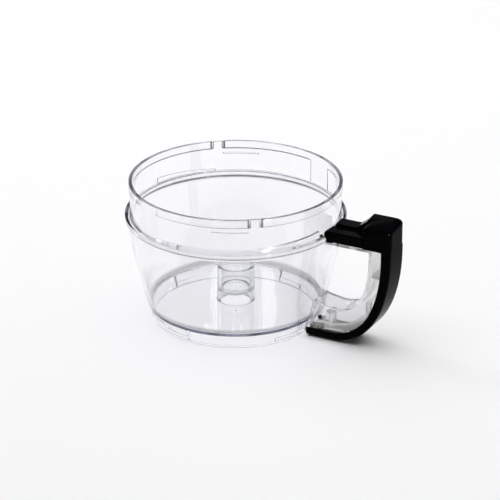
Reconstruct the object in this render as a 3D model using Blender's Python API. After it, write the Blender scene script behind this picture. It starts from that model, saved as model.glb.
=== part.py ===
"""Work bowl of a food processor, with its D-handle and the lid interlock inside the handle.

Metres, +Z up. The bowl stands on the plane Z = 0 and the handle points along +X. The origin is at
the middle of the footprint, so the bowl's own axis stands at X = AXIS_X. Every shape below is drawn
about the bowl's axis and then hangs from one empty that stands there.
"""

import math

import bmesh
import bpy
from mathutils import Matrix, Vector

# ---- Driving dimensions -------------------------------------------------------------------------
SEGMENTS = 48  # facets round the bowl
GAP = 0.0003  # between parts that touch

# Bowl body
BOWL_HEIGHT = 0.137
WALL = 0.0026
FOOT_RADIUS = 0.0795  # outside, on the table
BODY_TOP_RADIUS = 0.1022  # outside, just under the lip
BODY_BULGE = 0.0018  # how far the middle of the wall stands out from a straight cone
FLOOR_TOP = 0.0156
FLOOR_THICKNESS = 0.0028
FLOOR_FILLET = 0.004
SKIRT_STEP = 0.0008  # ring where the wall meets the skirt

# Lip, shoulder and collar
LIP_RADIUS = 0.1043
LIP_LOW = 0.0990
LIP_HIGH = 0.1040
SHOULDER_RISE = 0.0028
COLLAR_RADIUS = 0.0993
COLLAR_WALL = 0.0025
RIB_HEIGHT = 0.0078
RIB_STAND = 0.0010  # how far the rim rib stands out of the collar
EDGE_ROUND = 0.0005

# Bayonet features, angles in degrees about the bowl's axis from the handle
RIB_GAP_ANGLES = (-51.5, 128.5)
RIB_GAP_SPAN = 6.4
LEDGE_SPAN = 20.0
LEDGE_DROP = 0.0122  # ledge below the rim
LEDGE_HEIGHT = 0.0011
STOP_ANGLES = (63.0, 243.0)
STOP_SPAN = 16.0
RAMP_START = 1.5  # where each shoulder ramp starts, after its rib gap
RAMP_SPAN = 38.0
RAMP_HEIGHT = 0.0045
RAMP_STAND = 0.0016
LUG_ANGLES = (74.4, 157.0, 254.4, 337.0)
LUG_SPAN = 22.0
LUG_DEPTH = 0.0024
LUG_LOW = 0.0025
LUG_HEIGHT = 0.0030
STOP_RIB_SPAN = 1.8  # upright rib at the end of each lug

# Centre column, open at the top for the drive shaft
COLUMN_RADIUS = 0.0176
COLUMN_TOP = 0.0500
COLUMN_WALL = 0.0034
COLUMN_FOOT = 0.0035
SHELF_TOP = 0.0285
SHELF_THICKNESS = 0.0026
SHAFT_HOLE_RADIUS = 0.0118

# Handle, side view: outer curve and finger opening are Bezier curves
HANDLE_REACH = 0.1670  # bowl's axis to the back of the handle
HANDLE_CLEAR = 0.0012  # handle's lowest face above the table
COVER_WIDTH = 0.0310
COVER_WALL = 0.0024
COVER_SIDE_WALL = 0.0021
COVER_DEPTH = 0.0074  # at the foot
COVER_DEPTH_TOP = 0.0089
COVER_ROUND = 0.0052
COVER_FOOT_START = 0.0823  # cover's end next to the skirt
SPINE_TOP = 0.0950  # below this height the back of the handle starts to curve
SPINE_TURN = 0.1120  # inside this radius the handle's underside is flat
CURVE_POINTS = 14

# Block at the top of the handle
BLOCK_TOP = 0.1228
BLOCK_START = 0.1390
BLOCK_LOW = 0.0997
BLOCK_ROUND = 0.0036
WEDGE_START = 0.1248
WEDGE_END = 0.1345

# Arm cover between block and bowl
ARM_TOP = 0.1100
ARM_RISE = 0.0026  # the raised half
NOTCH_RADIUS = 0.1013  # bowl's outside behind the near half of the arm
ARM_ROOT_X = 0.0990  # both halves are drawn from here and trimmed to the bowl
ARM_LOW = 0.1000
ARM_HOLLOW_X = 0.1084
ARM_HOOK = 0.0011
ARM_HOOK_END = 0.1084
ARM_WALL = 0.0021

# Clear handle frame
FRAME_WALL = 0.0022
FRAME_LAP = 0.0043  # how far the frame reaches into the covers
ARM_UNDERSIDE = 0.0963
GRIP_FACE = 0.1450  # finger side of the grip
OPENING_FLOOR = 0.0330
OPENING_ROOT = 0.0365
OPENING_TURN = 0.1080
ROOT_PLATE_THICKNESS = 0.0030
ROOT_PLATE_LOW = 0.0150

# Interlock inside the handle
ROD_X = 0.1555
ROD_WIDTH = 0.0040
ROD_THICKNESS = 0.0044
ROD_LOWER_X = 0.1410
ROD_JOG_HIGH = 0.0580
ROD_JOG_LOW = 0.0420
ROD_FOOT = 0.0308
ROD_COLLAR_LOW = 0.1000
ROD_COLLAR_THICKNESS = 0.0024
ROD_COLLAR_LENGTH = 0.0100
ROD_COLLAR_WIDTH = 0.0084
TRIGGER_LOW = 0.1112
TRIGGER_TOP = 0.1174
TRIGGER_WIDTH = 0.0090
TRIGGER_Y = -0.0050
TRIGGER_NOSE = 0.0027  # how far its nose stands out of the block
TRIGGER_STOP_WIDTH = 0.0112
TRIGGER_STOP_LENGTH = 0.0025
SLOPE_OFFSET = 0.0420  # the 45 degree face between trigger and rod lies on z = x - this
SLOT_CLEARANCE = 0.0004
WASHER_THICKNESS = 0.0008
WASHER_RADIUS = 0.0042
GUIDE_TOP = 0.0740
GUIDE_THICKNESS = 0.0032
GUIDE_START = 0.1476
GUIDE_END = 0.1614
SPRING_WIRE = 0.0009
SPRING_RADIUS = 0.0038
SPRING_TURNS = 6
LEVER_PIVOT_X = 0.0910
LEVER_PIVOT_Z = 0.0088
LEVER_THICKNESS = 0.0050
LEVER_NUB = (0.1150, 0.1200)
NUB_CLEARANCE = 0.0014
LEVER_OUTLINE = (
    (0.0880, 0.0066),
    (0.0920, 0.0052),
    (0.1000, 0.0056),
    (0.1150, 0.0066),
    (0.1150, 0.0036),
    (0.1200, 0.0036),
    (0.1200, 0.0082),
    (0.1285, 0.0132),
    (0.1350, 0.0188),
    (0.1430, 0.0262),
    (0.1430, 0.0290),
    (0.1415, 0.0305),
    (0.1395, 0.0305),
    (0.1300, 0.0222),
    (0.1180, 0.0138),
    (0.1040, 0.0110),
    (0.0930, 0.0114),
    (0.0890, 0.0112),
    (0.0876, 0.0098),
)
PIN_RADIUS = 0.0012
PIN_END_GAP = 0.0003  # pin ends inside the outer faces of the frame
PIVOT_BLOCK = (0.0850, 0.0970, 0.0066, 0.0112)  # x and z of the block that carries the pin
PLUG_X = 0.0960
PLUG_Z = 0.0210
PLUG_RADIUS = 0.0021

# Screws
SCREW_RADIUS = 0.0015
SCREW_HEAD_RADIUS = 0.0028
SCREW_HEAD_HEIGHT = 0.0018
SCREW_LENGTH = 0.0110
SCREW_SINK = 0.0004  # head below the face it is let into
SEAT_DEPTH = SCREW_SINK + SCREW_HEAD_HEIGHT + GAP
LOWER_SCREW_X = 0.0990
LOWER_BOSS_LOW = 0.0068
LOWER_BOSS_HIGH = 0.0200
ARM_SCREWS = ((0.1164, 0.0), (0.1325, 0.0))
BOSS_RADIUS = 0.0040
LOWER_BOSS_RADIUS = 0.0048

# Worked out from the above
RIM_RADIUS = COLLAR_RADIUS + RIB_STAND
AXIS_X = -(HANDLE_REACH - LIP_RADIUS) / 2
COLLAR_LOW = LIP_HIGH + SHOULDER_RISE
RIB_LOW = BOWL_HEIGHT - RIB_HEIGHT
INNER_HALF = COVER_WIDTH / 2 - COVER_SIDE_WALL  # inside of the covers
FRAME_HALF = INNER_HALF - GAP
FRAME_INNER_HALF = FRAME_HALF - FRAME_WALL
LOWER_SCREW_Y = FRAME_INNER_HALF + 0.0004 - LOWER_BOSS_RADIUS  # boss sunk into the far wall
MECH_Y = LOWER_SCREW_Y - LOWER_BOSS_RADIUS - 0.0005 - LEVER_THICKNESS / 2  # lever beside the boss


# ---- Curves and outlines ------------------------------------------------------------------------
def bezier(a, b, c, d, count=CURVE_POINTS):
    """Points of one cubic Bezier curve, both ends included."""
    found = []
    for i in range(count + 1):
        t = i / count
        s = 1 - t
        weights = (s**3, 3 * s * s * t, 3 * s * t * t, t**3)
        found.append(tuple(sum(w * p[k] for w, p in zip(weights, (a, b, c, d))) for k in (0, 1)))
    return found


def offset(points, distance, last=None):
    """An open line moved sideways, to the right of its direction of travel.

    With a last distance, the shift changes evenly from the first point to the last one.
    """
    last = distance if last is None else last
    moved = []
    for i, point in enumerate(points):
        before = Vector(points[max(i - 1, 0)])
        after = Vector(points[min(i + 1, len(points) - 1)])
        along = (after - before).normalized()
        step = distance + (last - distance) * i / (len(points) - 1)
        moved.append((point[0] + along.y * step, point[1] - along.x * step))
    return moved


def arc(centre, radius, start, end, count=4):
    """Points on an arc, angles in degrees."""
    angles = [math.radians(start + (end - start) * i / count) for i in range(count + 1)]
    return [(centre[0] + radius * math.cos(a), centre[1] + radius * math.sin(a)) for a in angles]


def body_radius(z):
    """Outside of the bowl's wall: a cone from foot to lip with a slight bulge."""
    share = z / LIP_LOW
    cone = FOOT_RADIUS + (BODY_TOP_RADIUS - FOOT_RADIUS) * share
    return cone + 4 * BODY_BULGE * share * (1 - share)


def spine_curve():
    """The back of the handle, from the block down to the flat underside."""
    down = SPINE_TOP - HANDLE_CLEAR
    return bezier(
        (HANDLE_REACH, SPINE_TOP),
        (HANDLE_REACH, SPINE_TOP - 0.53 * down),
        (SPINE_TURN + 0.69 * (HANDLE_REACH - SPINE_TURN), HANDLE_CLEAR + 0.03 * down),
        (SPINE_TURN, HANDLE_CLEAR),
    )


def opening_curve():
    """The finger side of the grip, from the arm's underside to the lower arm."""
    down = ARM_UNDERSIDE - OPENING_FLOOR
    reach = GRIP_FACE - OPENING_TURN
    return bezier(
        (GRIP_FACE, ARM_UNDERSIDE),
        (GRIP_FACE, ARM_UNDERSIDE - 0.63 * down),
        (OPENING_TURN + 0.81 * reach, OPENING_FLOOR - 0.03 * down),
        (OPENING_TURN, OPENING_FLOOR),
    )


# ---- Mesh helpers -------------------------------------------------------------------------------
def material(name, colour, roughness, metallic=0.0, transmission=0.0):
    made = bpy.data.materials.new(name)
    made.use_nodes = True
    shader = made.node_tree.nodes["Principled BSDF"]
    shader.inputs["Base Color"].default_value = (*colour, 1.0)
    shader.inputs["Roughness"].default_value = roughness
    shader.inputs["Metallic"].default_value = metallic
    shader.inputs["Transmission Weight"].default_value = transmission
    return made


def add(name, bm, surface=None):
    """Turns a bmesh into a named object on the bowl's axis. Without a material it is a cutter."""
    bmesh.ops.recalc_face_normals(bm, faces=bm.faces)
    mesh = bpy.data.meshes.new(name)
    bm.to_mesh(mesh)
    bm.free()
    made = bpy.data.objects.new(name, mesh)
    bpy.context.scene.collection.objects.link(made)
    made.parent = AXIS
    if surface:
        mesh.materials.append(surface)
        mesh.shade_smooth()
        mesh.set_sharp_from_angle(angle=math.radians(30))
    else:
        made.hide_render = True
        made.display_type = "WIRE"
    return made


def turned(profile, start=0.0, span=360.0, segments=SEGMENTS):
    """A closed outline of (radius, height) points turned about the bowl's axis."""
    bm = bmesh.new()
    verts = [bm.verts.new((r, 0, z)) for r, z in profile]
    whole = span >= 360.0
    first = math.radians(start)
    bmesh.ops.rotate(bm, verts=verts, cent=(0, 0, 0), matrix=Matrix.Rotation(first, 3, "Z"))
    if whole:
        shape = [bm.edges.new((a, b)) for a, b in zip(verts, verts[1:] + verts[:1])]
    else:
        shape = [bm.faces.new(verts)]
    bmesh.ops.spin(
        bm,
        geom=verts + shape,
        axis=(0, 0, 1),
        cent=(0, 0, 0),
        angle=math.radians(span),
        steps=segments,
        use_merge=whole,
    )
    bmesh.ops.remove_doubles(bm, verts=bm.verts, dist=1e-6)
    return bm


def sector(inner, outer, low, high, middle, span):
    """A piece of ring, square in section, its angles in degrees."""
    steps = max(2, round(span / 360 * SEGMENTS))
    outline = [(inner, low), (outer, low), (outer, high), (inner, high)]
    return turned(outline, middle - span / 2, span, steps)


def plate(outline, low, high):
    """A flat outline of (x, z) points given thickness from y = low to y = high."""
    bm = bmesh.new()
    face = bm.faces.new([bm.verts.new((x, low, z)) for x, z in outline])
    grown = bmesh.ops.extrude_face_region(bm, geom=[face])["geom"]
    moving = [v for v in grown if isinstance(v, bmesh.types.BMVert)]
    bmesh.ops.translate(bm, verts=moving, vec=(0, high - low, 0))
    return bm


def block(x0, x1, y0, y1, z0, z1):
    return plate([(x0, z0), (x1, z0), (x1, z1), (x0, z1)], y0, y1)


def rod_z(x, y, z0, z1, radius, sides=20):
    """An upright round bar."""
    bm = bmesh.new()
    bmesh.ops.create_cone(
        bm, cap_ends=True, segments=sides, radius1=radius, radius2=radius, depth=z1 - z0
    )
    bmesh.ops.translate(bm, verts=bm.verts, vec=(x, y, (z0 + z1) / 2))
    return bm


def rod_y(x, z, y0, y1, radius, sides=20):
    """A round bar across the handle."""
    bm = rod_z(0, 0, y0, y1, radius, sides)
    bmesh.ops.rotate(bm, verts=bm.verts, cent=(0, 0, 0), matrix=Matrix.Rotation(-math.pi / 2, 3, "X"))
    bmesh.ops.translate(bm, verts=bm.verts, vec=(x, 0, z))
    return bm


def combine(target, operation, *parts):
    """Adds one live Boolean for each (name, bmesh) pair."""
    for name, bm in parts:
        tool = add(name, bm)
        change = target.modifiers.new(name, "BOOLEAN")
        change.operation = operation
        change.object = tool
    return target


def bevel_edges(bm, chosen, width, segments):
    bmesh.ops.bevel(
        bm,
        geom=[e for e in bm.edges if chosen(e)],
        offset=width,
        segments=segments,
        profile=0.5,
        affect="EDGES",
        clamp_overlap=True,
    )
    return bm


# ---- Bowl ---------------------------------------------------------------------------------------
def bowl_profile():
    """Section of the bowl from the foot of the skirt up its outside and back down its inside."""
    wall_heights = [FLOOR_TOP + (LIP_LOW - FLOOR_TOP) * i / 5 for i in range(6)]
    skirt_top = body_radius(FLOOR_TOP) - SKIRT_STEP
    outside = [(FOOT_RADIUS, 0.0), (skirt_top, FLOOR_TOP - 0.0010)]
    outside += [(body_radius(z), z) for z in wall_heights]
    lip = [
        (LIP_RADIUS, LIP_LOW + 0.0012),
        (LIP_RADIUS, LIP_HIGH - EDGE_ROUND),
        (LIP_RADIUS - EDGE_ROUND, LIP_HIGH),
        (COLLAR_RADIUS + 0.0010, COLLAR_LOW - 0.0006),
        (COLLAR_RADIUS, COLLAR_LOW),
    ]
    rim = [
        (COLLAR_RADIUS, RIB_LOW),
        (RIM_RADIUS, RIB_LOW),
        (RIM_RADIUS, BOWL_HEIGHT - EDGE_ROUND),
        (RIM_RADIUS - EDGE_ROUND, BOWL_HEIGHT),
    ]
    inner = COLLAR_RADIUS - COLLAR_WALL
    collar_inside = [
        (inner + EDGE_ROUND, BOWL_HEIGHT),
        (inner, BOWL_HEIGHT - EDGE_ROUND),
        (inner, COLLAR_LOW - 0.0010),
    ]
    body_inside = [(body_radius(z) - WALL, z) for z in reversed(wall_heights[1:])]
    low_wall = body_radius(FLOOR_TOP + FLOOR_FILLET) - WALL
    floor = arc((low_wall - FLOOR_FILLET, FLOOR_TOP + FLOOR_FILLET), FLOOR_FILLET, 0, -90, 3)
    column = arc(
        (COLUMN_RADIUS + COLUMN_FOOT, FLOOR_TOP + COLUMN_FOOT), COLUMN_FOOT, 270, 180, 3
    )
    bore = COLUMN_RADIUS - COLUMN_WALL
    column += [
        (COLUMN_RADIUS, COLUMN_TOP - EDGE_ROUND),
        (COLUMN_RADIUS - EDGE_ROUND, COLUMN_TOP),
        (bore + EDGE_ROUND, COLUMN_TOP),
        (bore, COLUMN_TOP - EDGE_ROUND),
        (bore, SHELF_TOP),
        (SHAFT_HOLE_RADIUS, SHELF_TOP),
        (SHAFT_HOLE_RADIUS, SHELF_TOP - SHELF_THICKNESS),
        (bore, SHELF_TOP - SHELF_THICKNESS),
    ]
    under = FLOOR_TOP - FLOOR_THICKNESS
    underside = [
        (bore, under),
        (body_radius(under) - SKIRT_STEP - WALL - 0.0010, under),
        (FOOT_RADIUS - WALL, 0.0),
    ]
    return outside + lip + rim + collar_inside + body_inside + floor + column + underside


def make_bowl():
    bowl = add("work_bowl", turned(bowl_profile()), CLEAR)
    sunk = 0.0005  # added pieces are sunk this far into the wall
    for i, angle in enumerate(RIB_GAP_ANGLES):
        gap = sector(
            COLLAR_RADIUS - 0.0001,
            RIM_RADIUS + 0.004,
            RIB_LOW - 0.0004,
            BOWL_HEIGHT + 0.004,
            angle,
            RIB_GAP_SPAN,
        )
        ledge_top = BOWL_HEIGHT - LEDGE_DROP
        ledge = sector(
            COLLAR_RADIUS - sunk,
            RIM_RADIUS,
            ledge_top - LEDGE_HEIGHT,
            ledge_top,
            angle - RIB_GAP_SPAN / 2 - LEDGE_SPAN / 2,
            LEDGE_SPAN,
        )
        ramp = sector(
            COLLAR_RADIUS - sunk,
            COLLAR_RADIUS + RAMP_STAND,
            COLLAR_LOW - 0.0016,
            COLLAR_LOW + RAMP_HEIGHT,
            angle + RAMP_START + RAMP_SPAN / 2,
            RAMP_SPAN,
        )
        for vert in ramp.verts:  # the ramp climbs from nearly nothing to its full height
            turn = math.degrees(math.atan2(vert.co.y, vert.co.x)) - (angle + RAMP_START)
            share = ((turn + 1.0) % 360 - 1.0) / RAMP_SPAN
            if vert.co.z > COLLAR_LOW:
                vert.co.z = COLLAR_LOW + RAMP_HEIGHT * (0.15 + 0.85 * share)
        combine(bowl, "DIFFERENCE", (f"rib_gap_{i}", gap))
        combine(bowl, "UNION", (f"ledge_{i}", ledge), (f"shoulder_ramp_{i}", ramp))
    for i, angle in enumerate(STOP_ANGLES):
        stop = sector(
            COLLAR_RADIUS - sunk,
            RIM_RADIUS,
            COLLAR_LOW - 0.0010,
            RIB_LOW + 0.0006,
            angle,
            STOP_SPAN,
        )
        combine(bowl, "UNION", (f"stop_{i}", stop))
    for i, angle in enumerate(LUG_ANGLES):
        skirt_inside = FOOT_RADIUS - WALL
        lug = sector(
            skirt_inside - LUG_DEPTH,
            skirt_inside + 0.0012,
            LUG_LOW,
            LUG_LOW + LUG_HEIGHT,
            angle,
            LUG_SPAN,
        )
        rib = sector(
            skirt_inside - LUG_DEPTH + 0.0001,
            skirt_inside + 0.0010,
            LUG_LOW + 0.0004,
            FLOOR_TOP - FLOOR_THICKNESS + 0.0005,
            angle + LUG_SPAN / 2 - STOP_RIB_SPAN / 2 - 0.2,
            STOP_RIB_SPAN,
        )
        combine(bowl, "UNION", (f"skirt_lug_{i}", lug), (f"stop_rib_{i}", rib))
    notch = near_root()
    combine(bowl, "DIFFERENCE", ("lip_notch", notch))
    return bowl


def near_root():
    """What the lower half of the arm takes out of the lip."""
    outline = [
        (NOTCH_RADIUS, LIP_LOW - 0.0006),
        (LIP_RADIUS + 0.008, LIP_LOW - 0.0006),
        (LIP_RADIUS + 0.008, COLLAR_LOW + 0.0008),
        (NOTCH_RADIUS, COLLAR_LOW + 0.0008),
    ]
    reach = math.degrees(math.asin((COVER_WIDTH / 2 + GAP) / LIP_RADIUS))
    extra = math.degrees(GAP / LIP_RADIUS)
    return turned(outline, -reach - extra, reach + 2 * extra, 4)


def bowl_outside(grown):
    """The bowl's outside as one solid, a little larger, to cut the handle to."""
    heights = [-0.010, 0.0] + [LIP_LOW * i / 6 for i in range(1, 7)]
    profile = [(0.0, heights[0])] + [(body_radius(z) + grown, z) for z in heights]
    profile += [(LIP_RADIUS + grown, LIP_LOW + 0.0006), (LIP_RADIUS + grown, LIP_HIGH + 0.001)]
    profile += [(COLLAR_RADIUS + grown, COLLAR_LOW), (COLLAR_RADIUS + grown, BOWL_HEIGHT)]
    profile += [(0.0, BOWL_HEIGHT)]
    return turned(profile)


# ---- Handle -------------------------------------------------------------------------------------
def cut_to_bowl(part):
    """Trims whatever runs into the bowl, leaving the seam."""
    return combine(part, "DIFFERENCE", (part.name + "_bowl_seat", bowl_outside(GAP)))


def make_handle_frame():
    """Clear moulding that fills the finger side of the covers: a channel open to the outside."""
    opening = opening_curve()
    edge = offset(spine_curve(), COVER_DEPTH_TOP - FRAME_LAP, COVER_DEPTH - FRAME_LAP)
    start = FOOT_RADIUS - 0.010
    lap_top = ARM_LOW + FRAME_LAP
    inside = [(start, ARM_UNDERSIDE)] + opening + [(BODY_TOP_RADIUS - 0.015, OPENING_ROOT)]
    lap_start = ARM_HOLLOW_X + GAP
    arm_root = ARM_LOW - ARM_HOOK - GAP
    outside = [(start, edge[-1][1])] + edge[::-1] + [(edge[0][0], lap_top), (lap_start, lap_top)]
    outside += [(lap_start, arm_root), (start, arm_root)]
    frame = add(
        "handle_frame",
        plate(inside + [(start, OPENING_ROOT)] + outside, -FRAME_HALF, FRAME_HALF),
        CLEAR_HANDLE,
    )
    hollow = offset(opening, -FRAME_WALL)
    under = ARM_UNDERSIDE + FRAME_WALL
    floor = OPENING_ROOT - FRAME_WALL
    solid_end = lap_start + FRAME_WALL
    channel = [(solid_end, under), (hollow[0][0], under)] + hollow[1:]
    channel += [(BODY_TOP_RADIUS - 0.015, floor), (start - 0.002, floor)]
    channel += [(start - 0.002, -0.01), (HANDLE_REACH + 0.01, -0.01)]
    channel += [(HANDLE_REACH + 0.01, lap_top + 0.01), (solid_end, lap_top + 0.01)]
    half = FRAME_INNER_HALF
    combine(frame, "DIFFERENCE", ("frame_channel", plate(channel, -half, half)))
    lower, upper = ROOT_PLATE_LOW, OPENING_ROOT - 0.0002
    thick = ROOT_PLATE_THICKNESS
    root = [
        (start, lower),
        (body_radius(lower) + thick, lower),
        (body_radius(upper) + thick, upper),
        (start, upper),
    ]
    root_half = FRAME_HALF - 0.0001
    x, y = LOWER_SCREW_X, LOWER_SCREW_Y
    combine(
        frame,
        "UNION",
        ("root_plate", plate(root, -root_half, root_half)),
        ("lower_boss", rod_z(x, y, LOWER_BOSS_LOW, LOWER_BOSS_HIGH, LOWER_BOSS_RADIUS, 16)),
    )
    bore = rod_z(x, y, 0.0, LOWER_BOSS_HIGH - 0.0020, SCREW_RADIUS + GAP, 12)
    combine(frame, "DIFFERENCE", ("lower_screw_hole", bore))
    for n, (x, y) in enumerate(ARM_SCREWS):
        seat = ARM_UNDERSIDE + SEAT_DEPTH
        pad = rod_z(x, y, under - 0.0005, seat + 0.0012, BOSS_RADIUS + 0.0006, 16)
        hole = rod_z(x, y, ARM_UNDERSIDE - 0.002, seat + 0.004, SCREW_RADIUS + GAP, 12)
        head = rod_z(x, y, ARM_UNDERSIDE - 0.002, seat, SCREW_HEAD_RADIUS + GAP, 16)
        combine(frame, "UNION", (f"arm_pad_{n}", pad))
        combine(frame, "DIFFERENCE", (f"arm_hole_{n}", hole), (f"arm_head_seat_{n}", head))
    pin = rod_y(LEVER_PIVOT_X, LEVER_PIVOT_Z, -0.02, 0.02, PIN_RADIUS + GAP, 16)
    plug = rod_y(PLUG_X, PLUG_Z, -0.02, -half + 0.002, PLUG_RADIUS + GAP, 16)
    combine(frame, "DIFFERENCE", ("pin_hole", pin), ("plug_hole", plug))
    return cut_to_bowl(frame)


def cover_outline():
    """Side view of the cover: block, spine and underside, as outside and inside lines."""
    spine = spine_curve()
    corner = arc((HANDLE_REACH - BLOCK_ROUND, BLOCK_TOP - BLOCK_ROUND), BLOCK_ROUND, 90, 0, 4)
    outer = [(BLOCK_START, BLOCK_TOP)] + corner + spine + [(COVER_FOOT_START, HANDLE_CLEAR)]
    inner = offset(spine, COVER_DEPTH_TOP, COVER_DEPTH)
    flange = [(COVER_FOOT_START, inner[-1][1])] + inner[::-1]
    flange += [(inner[0][0], BLOCK_LOW), (BLOCK_START, BLOCK_LOW)]
    return outer, flange


def make_handle_cover():
    outer, flange = cover_outline()
    half = COVER_WIDTH / 2
    body = plate(outer + flange, -half, half)
    on_outside = {(round(x, 6), round(z, 6)) for x, z in outer}

    def long_edge(edge):
        flat = abs(abs(edge.verts[0].co.y) - half) < 1e-6
        level = abs(edge.verts[0].co.y - edge.verts[1].co.y) < 1e-6
        ends = all((round(v.co.x, 6), round(v.co.z, 6)) in on_outside for v in edge.verts)
        return flat and level and ends

    bevel_edges(body, long_edge, COVER_ROUND * 0.75, 3)
    cover = add("handle_cover", body, BLACK_GLOSS)
    wedge = [
        (WEDGE_START, ARM_TOP + ARM_RISE + GAP),
        (BLOCK_START + 0.0010, ARM_TOP + ARM_RISE + GAP),
        (BLOCK_START + 0.0010, BLOCK_TOP - 0.0004),
        (WEDGE_END + 0.0010, BLOCK_TOP - 0.0004),
        (WEDGE_END - 0.0018, BLOCK_TOP - 0.0020),
        ((WEDGE_START + WEDGE_END) / 2, BLOCK_TOP - 0.0045),
    ]
    combine(cover, "UNION", ("wedge", plate(wedge, GAP, half - 0.0030)))
    spine = spine_curve()
    wall = offset(spine, COVER_WALL)
    deep = offset(spine, COVER_DEPTH_TOP + 0.004)
    roof = BLOCK_TOP - COVER_WALL
    front = BLOCK_START + COVER_WALL
    hollow = [(front, roof), (wall[0][0], roof)] + wall
    hollow += [(COVER_FOOT_START - 0.002, wall[-1][1]), (COVER_FOOT_START - 0.002, deep[-1][1])]
    hollow += deep[::-1] + [(deep[0][0], BLOCK_LOW - 0.002), (front, BLOCK_LOW - 0.002)]
    combine(cover, "DIFFERENCE", ("cover_hollow", plate(hollow, -INNER_HALF, INNER_HALF)))
    lap = block(
        BLOCK_START - 0.002,
        front + 0.002,
        -INNER_HALF,
        INNER_HALF,
        BLOCK_LOW - 0.002,
        ARM_LOW + FRAME_LAP + GAP,
    )
    slot_half = TRIGGER_WIDTH / 2 + SLOT_CLEARANCE
    slot = block(
        BLOCK_START - 0.002,
        front + 0.002,
        TRIGGER_Y - slot_half,
        TRIGGER_Y + slot_half,
        TRIGGER_LOW - SLOT_CLEARANCE,
        TRIGGER_TOP + SLOT_CLEARANCE,
    )
    combine(cover, "DIFFERENCE", ("frame_passage", lap), ("trigger_slot", slot))
    x, y = LOWER_SCREW_X, LOWER_SCREW_Y
    seat = HANDLE_CLEAR + SEAT_DEPTH
    boss = rod_z(x, y, HANDLE_CLEAR + 0.0010, LOWER_BOSS_LOW - GAP, BOSS_RADIUS, 16)
    combine(cover, "UNION", ("cover_boss", boss))
    nub_half = LEVER_THICKNESS / 2 + NUB_CLEARANCE
    combine(
        cover,
        "DIFFERENCE",
        ("cover_hole", rod_z(x, y, -0.002, seat + 0.004, SCREW_RADIUS + GAP, 12)),
        ("cover_head_seat", rod_z(x, y, -0.002, seat, SCREW_HEAD_RADIUS + GAP, 16)),
        (
            "nub_slot",
            block(
                LEVER_NUB[0] - NUB_CLEARANCE,
                LEVER_NUB[1] + NUB_CLEARANCE,
                MECH_Y - nub_half,
                MECH_Y + nub_half,
                -0.002,
                HANDLE_CLEAR + 0.008,
            ),
        ),
    )
    return cut_to_bowl(cover)


def make_arm_cover():
    """Black arm from the collar to the block. Its near half lies lower and reaches the collar."""
    half = COVER_WIDTH / 2
    end = BLOCK_START - GAP
    body = block(ARM_ROOT_X, end, -half + 0.0001, half, ARM_LOW, ARM_TOP)
    arm = add("arm_cover", body, BLACK_GLOSS)
    raised = [
        (ARM_ROOT_X, ARM_LOW + 0.0001),
        (end - 0.0001, ARM_LOW + 0.0001),
        (end - 0.0001, ARM_TOP + ARM_RISE),
        (ARM_ROOT_X, ARM_TOP + ARM_RISE),
    ]
    seat = rod_z(0, 0, ARM_LOW - 0.01, BLOCK_TOP, LIP_RADIUS + GAP, 2 * SEGMENTS)
    combine(arm, "UNION", ("arm_raised", plate(raised, 0.0, half - 0.0001)))
    combine(arm, "DIFFERENCE", ("lip_seat", seat))
    root = add(
        "arm_root",
        block(ARM_ROOT_X, ARM_HOOK_END, -half, -0.0001, ARM_LOW - ARM_HOOK, ARM_TOP - 0.00002),
    )
    seat = rod_z(0, 0, ARM_LOW - 0.01, BLOCK_TOP, NOTCH_RADIUS + GAP, 2 * SEGMENTS)
    combine(root, "DIFFERENCE", ("notch_seat", seat))
    join = arm.modifiers.new("arm_root", "BOOLEAN")
    join.operation = "UNION"
    join.object = root
    inside = block(
        ARM_HOLLOW_X,
        BLOCK_START + 0.01,
        -INNER_HALF,
        INNER_HALF,
        ARM_LOW - 0.004,
        ARM_TOP - ARM_WALL,
    )
    combine(arm, "DIFFERENCE", ("arm_hollow", inside))
    for n, (x, y) in enumerate(ARM_SCREWS):
        low = ARM_UNDERSIDE + SEAT_DEPTH + 0.0012 + GAP
        boss = rod_z(x, y, low, ARM_TOP - 0.0010, BOSS_RADIUS, 16)
        hole = rod_z(x, y, low - 0.001, screw_tip() + 0.0005, SCREW_RADIUS + GAP, 12)
        combine(arm, "UNION", (f"arm_boss_{n}", boss))
        combine(arm, "DIFFERENCE", (f"arm_boss_hole_{n}", hole))
    return arm


def screw_tip():
    return ARM_UNDERSIDE + SCREW_SINK + SCREW_LENGTH


# ---- Interlock ----------------------------------------------------------------------------------
def make_trigger():
    """Slider pushed outwards by the lid. Its sloping end presses the rod down."""
    nose = BLOCK_START - TRIGGER_NOSE
    outline = [
        (nose + 0.0016, TRIGGER_LOW),
        (TRIGGER_LOW + SLOPE_OFFSET, TRIGGER_LOW),
        (TRIGGER_TOP + SLOPE_OFFSET, TRIGGER_TOP),
        (nose + 0.0008, TRIGGER_TOP),
        (nose, TRIGGER_TOP - 0.0008),
        (nose, TRIGGER_LOW + 0.0016),
    ]
    half = TRIGGER_WIDTH / 2
    trigger = add("lid_trigger", plate(outline, TRIGGER_Y - half, TRIGGER_Y + half), BLACK_SATIN)
    back = BLOCK_START + COVER_WALL + GAP
    wide = TRIGGER_STOP_WIDTH / 2
    stop = block(
        back,
        back + TRIGGER_STOP_LENGTH,
        TRIGGER_Y - wide,
        TRIGGER_Y + wide,
        TRIGGER_LOW + 0.0005,
        TRIGGER_TOP - 0.0005,
    )
    return combine(trigger, "UNION", ("trigger_stop", stop))


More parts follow.
